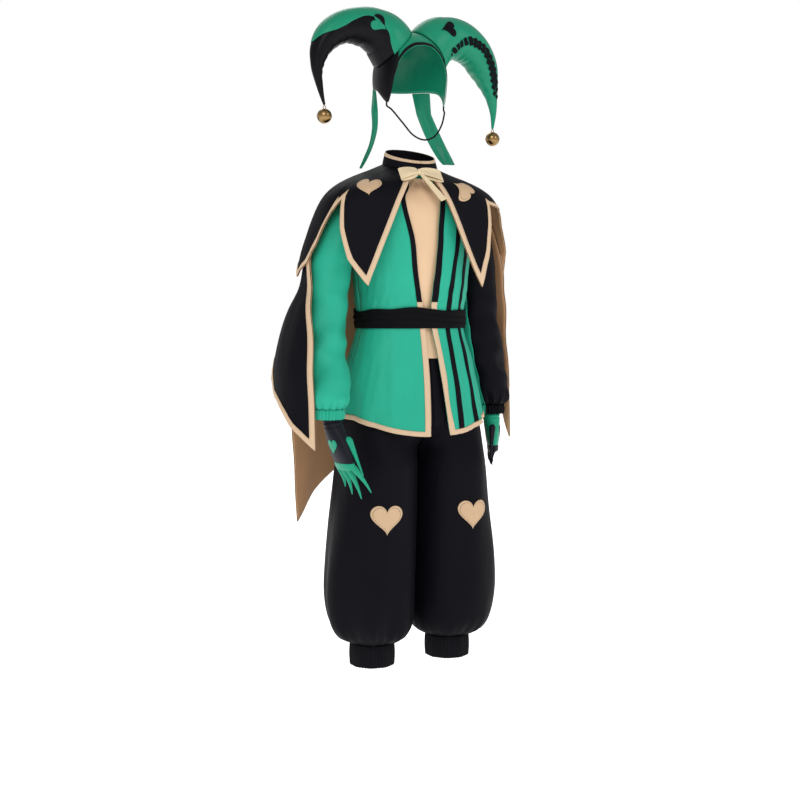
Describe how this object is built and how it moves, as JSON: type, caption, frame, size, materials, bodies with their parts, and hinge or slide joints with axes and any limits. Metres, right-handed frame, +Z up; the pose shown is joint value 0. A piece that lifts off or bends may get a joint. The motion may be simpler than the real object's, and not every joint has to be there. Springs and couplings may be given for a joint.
{
  "type": "pierrot costume",
  "caption": "Jester-like clown costume as worn: horned hood with bells, pointed capelet and cape, belted jacket, gathered trousers and clawed gloves, hollow for a wearer.",
  "frame": {"origin": "middle of the base of the neck, 1450 mm above the soles of a standing wearer, where the shoulders carry the costume", "axes": "+Z up, the wearer faces -Y, +X to the wearer's left"},
  "size_m": [0.6276, 0.3759, 1.5106],
  "materials": {
    "black_cloth": "matt, faintly violet, fine weave",
    "green_cloth": "soft low sheen, fine weave",
    "green_satin": "satin sheen",
    "gold_cloth": "soft low sheen",
    "vest_cloth": "soft sheen",
    "lining": "soft low sheen",
    "cream_satin": "satin sheen",
    "sash": "matt, soft",
    "elastic": "matt",
    "brass": "polished"
  },
  "bodies": {
    "root": {"capelet": "black_cloth", "cape": "black_cloth", "collar": "black_cloth", "hat_crown_black": "black_cloth", "hat_horn_right": "black_cloth", "hat_heart_left": "black_cloth", "hat_heart_right": "black_cloth", "hat_face_binding": "black_cloth", "hat_braid": "black_cloth", "jacket_band_right": "black_cloth", "jacket_band_left": "black_cloth", "jacket_stripe_one": "black_cloth", "jacket_stripe_two": "black_cloth", "sleeve_left_outer": "black_cloth", "cuff_left_outer": "black_cloth", "trouser_leg_right": "black_cloth", "trouser_leg_left": "black_cloth", "trouser_waistband": "black_cloth", "trouser_cuff_right": "black_cloth", "trouser_cuff_left": "black_cloth", "glove_right_hand": "black_cloth", "glove_left_fingers": "black_cloth", "glove_left_thumb": "black_cloth", "glove_left_heart": "black_cloth", "jacket_front_right": "green_cloth", "jacket_front_left": "green_cloth", "jacket_back": "green_cloth", "sleeve_right": "green_cloth", "sleeve_left_inner": "green_cloth", "cuff_right": "green_cloth", "cuff_left_inner": "green_cloth", "glove_right_fingers": "green_cloth", "glove_right_thumb": "green_cloth", "glove_right_heart": "green_cloth", "glove_left_hand": "green_cloth", "hat_crown_green": "green_satin", "hat_horn_left": "green_satin", "hat_horn_right_top": "green_satin", "hat_tail_right": "green_satin", "hat_tail_left": "green_satin", "capelet_trim": "gold_cloth", "cape_trim": "gold_cloth", "collar_binding": "gold_cloth", "capelet_heart_right": "gold_cloth", "capelet_heart_left": "gold_cloth", "jacket_binding_right": "gold_cloth", "jacket_binding_left": "gold_cloth", "jacket_binding_back": "gold_cloth", "trouser_heart_right": "gold_cloth", "trouser_heart_left": "gold_cloth", "vest_front": "vest_cloth", "capelet_lining": "lining", "cape_lining": "lining", "bow": "cream_satin", "sash": "sash", "hat_chin_elastic": "elastic"},
    "bell_right": {"bell_right": "brass"},
    "bell_left": {"bell_left": "brass"}
  },
  "joints": [
    {"name": "bell_right_swing", "type": "hinge", "parent": "root", "child": "bell_right", "pos_m": [-0.219, -0.003, 0.161], "axis": [0, 1, 0], "range_deg": [-25, 25]},
    {"name": "bell_left_swing", "type": "hinge", "parent": "root", "child": "bell_left", "pos_m": [0.225, 0.002, 0.1357], "axis": [0, 1, 0], "range_deg": [-25, 25]}
  ]
}
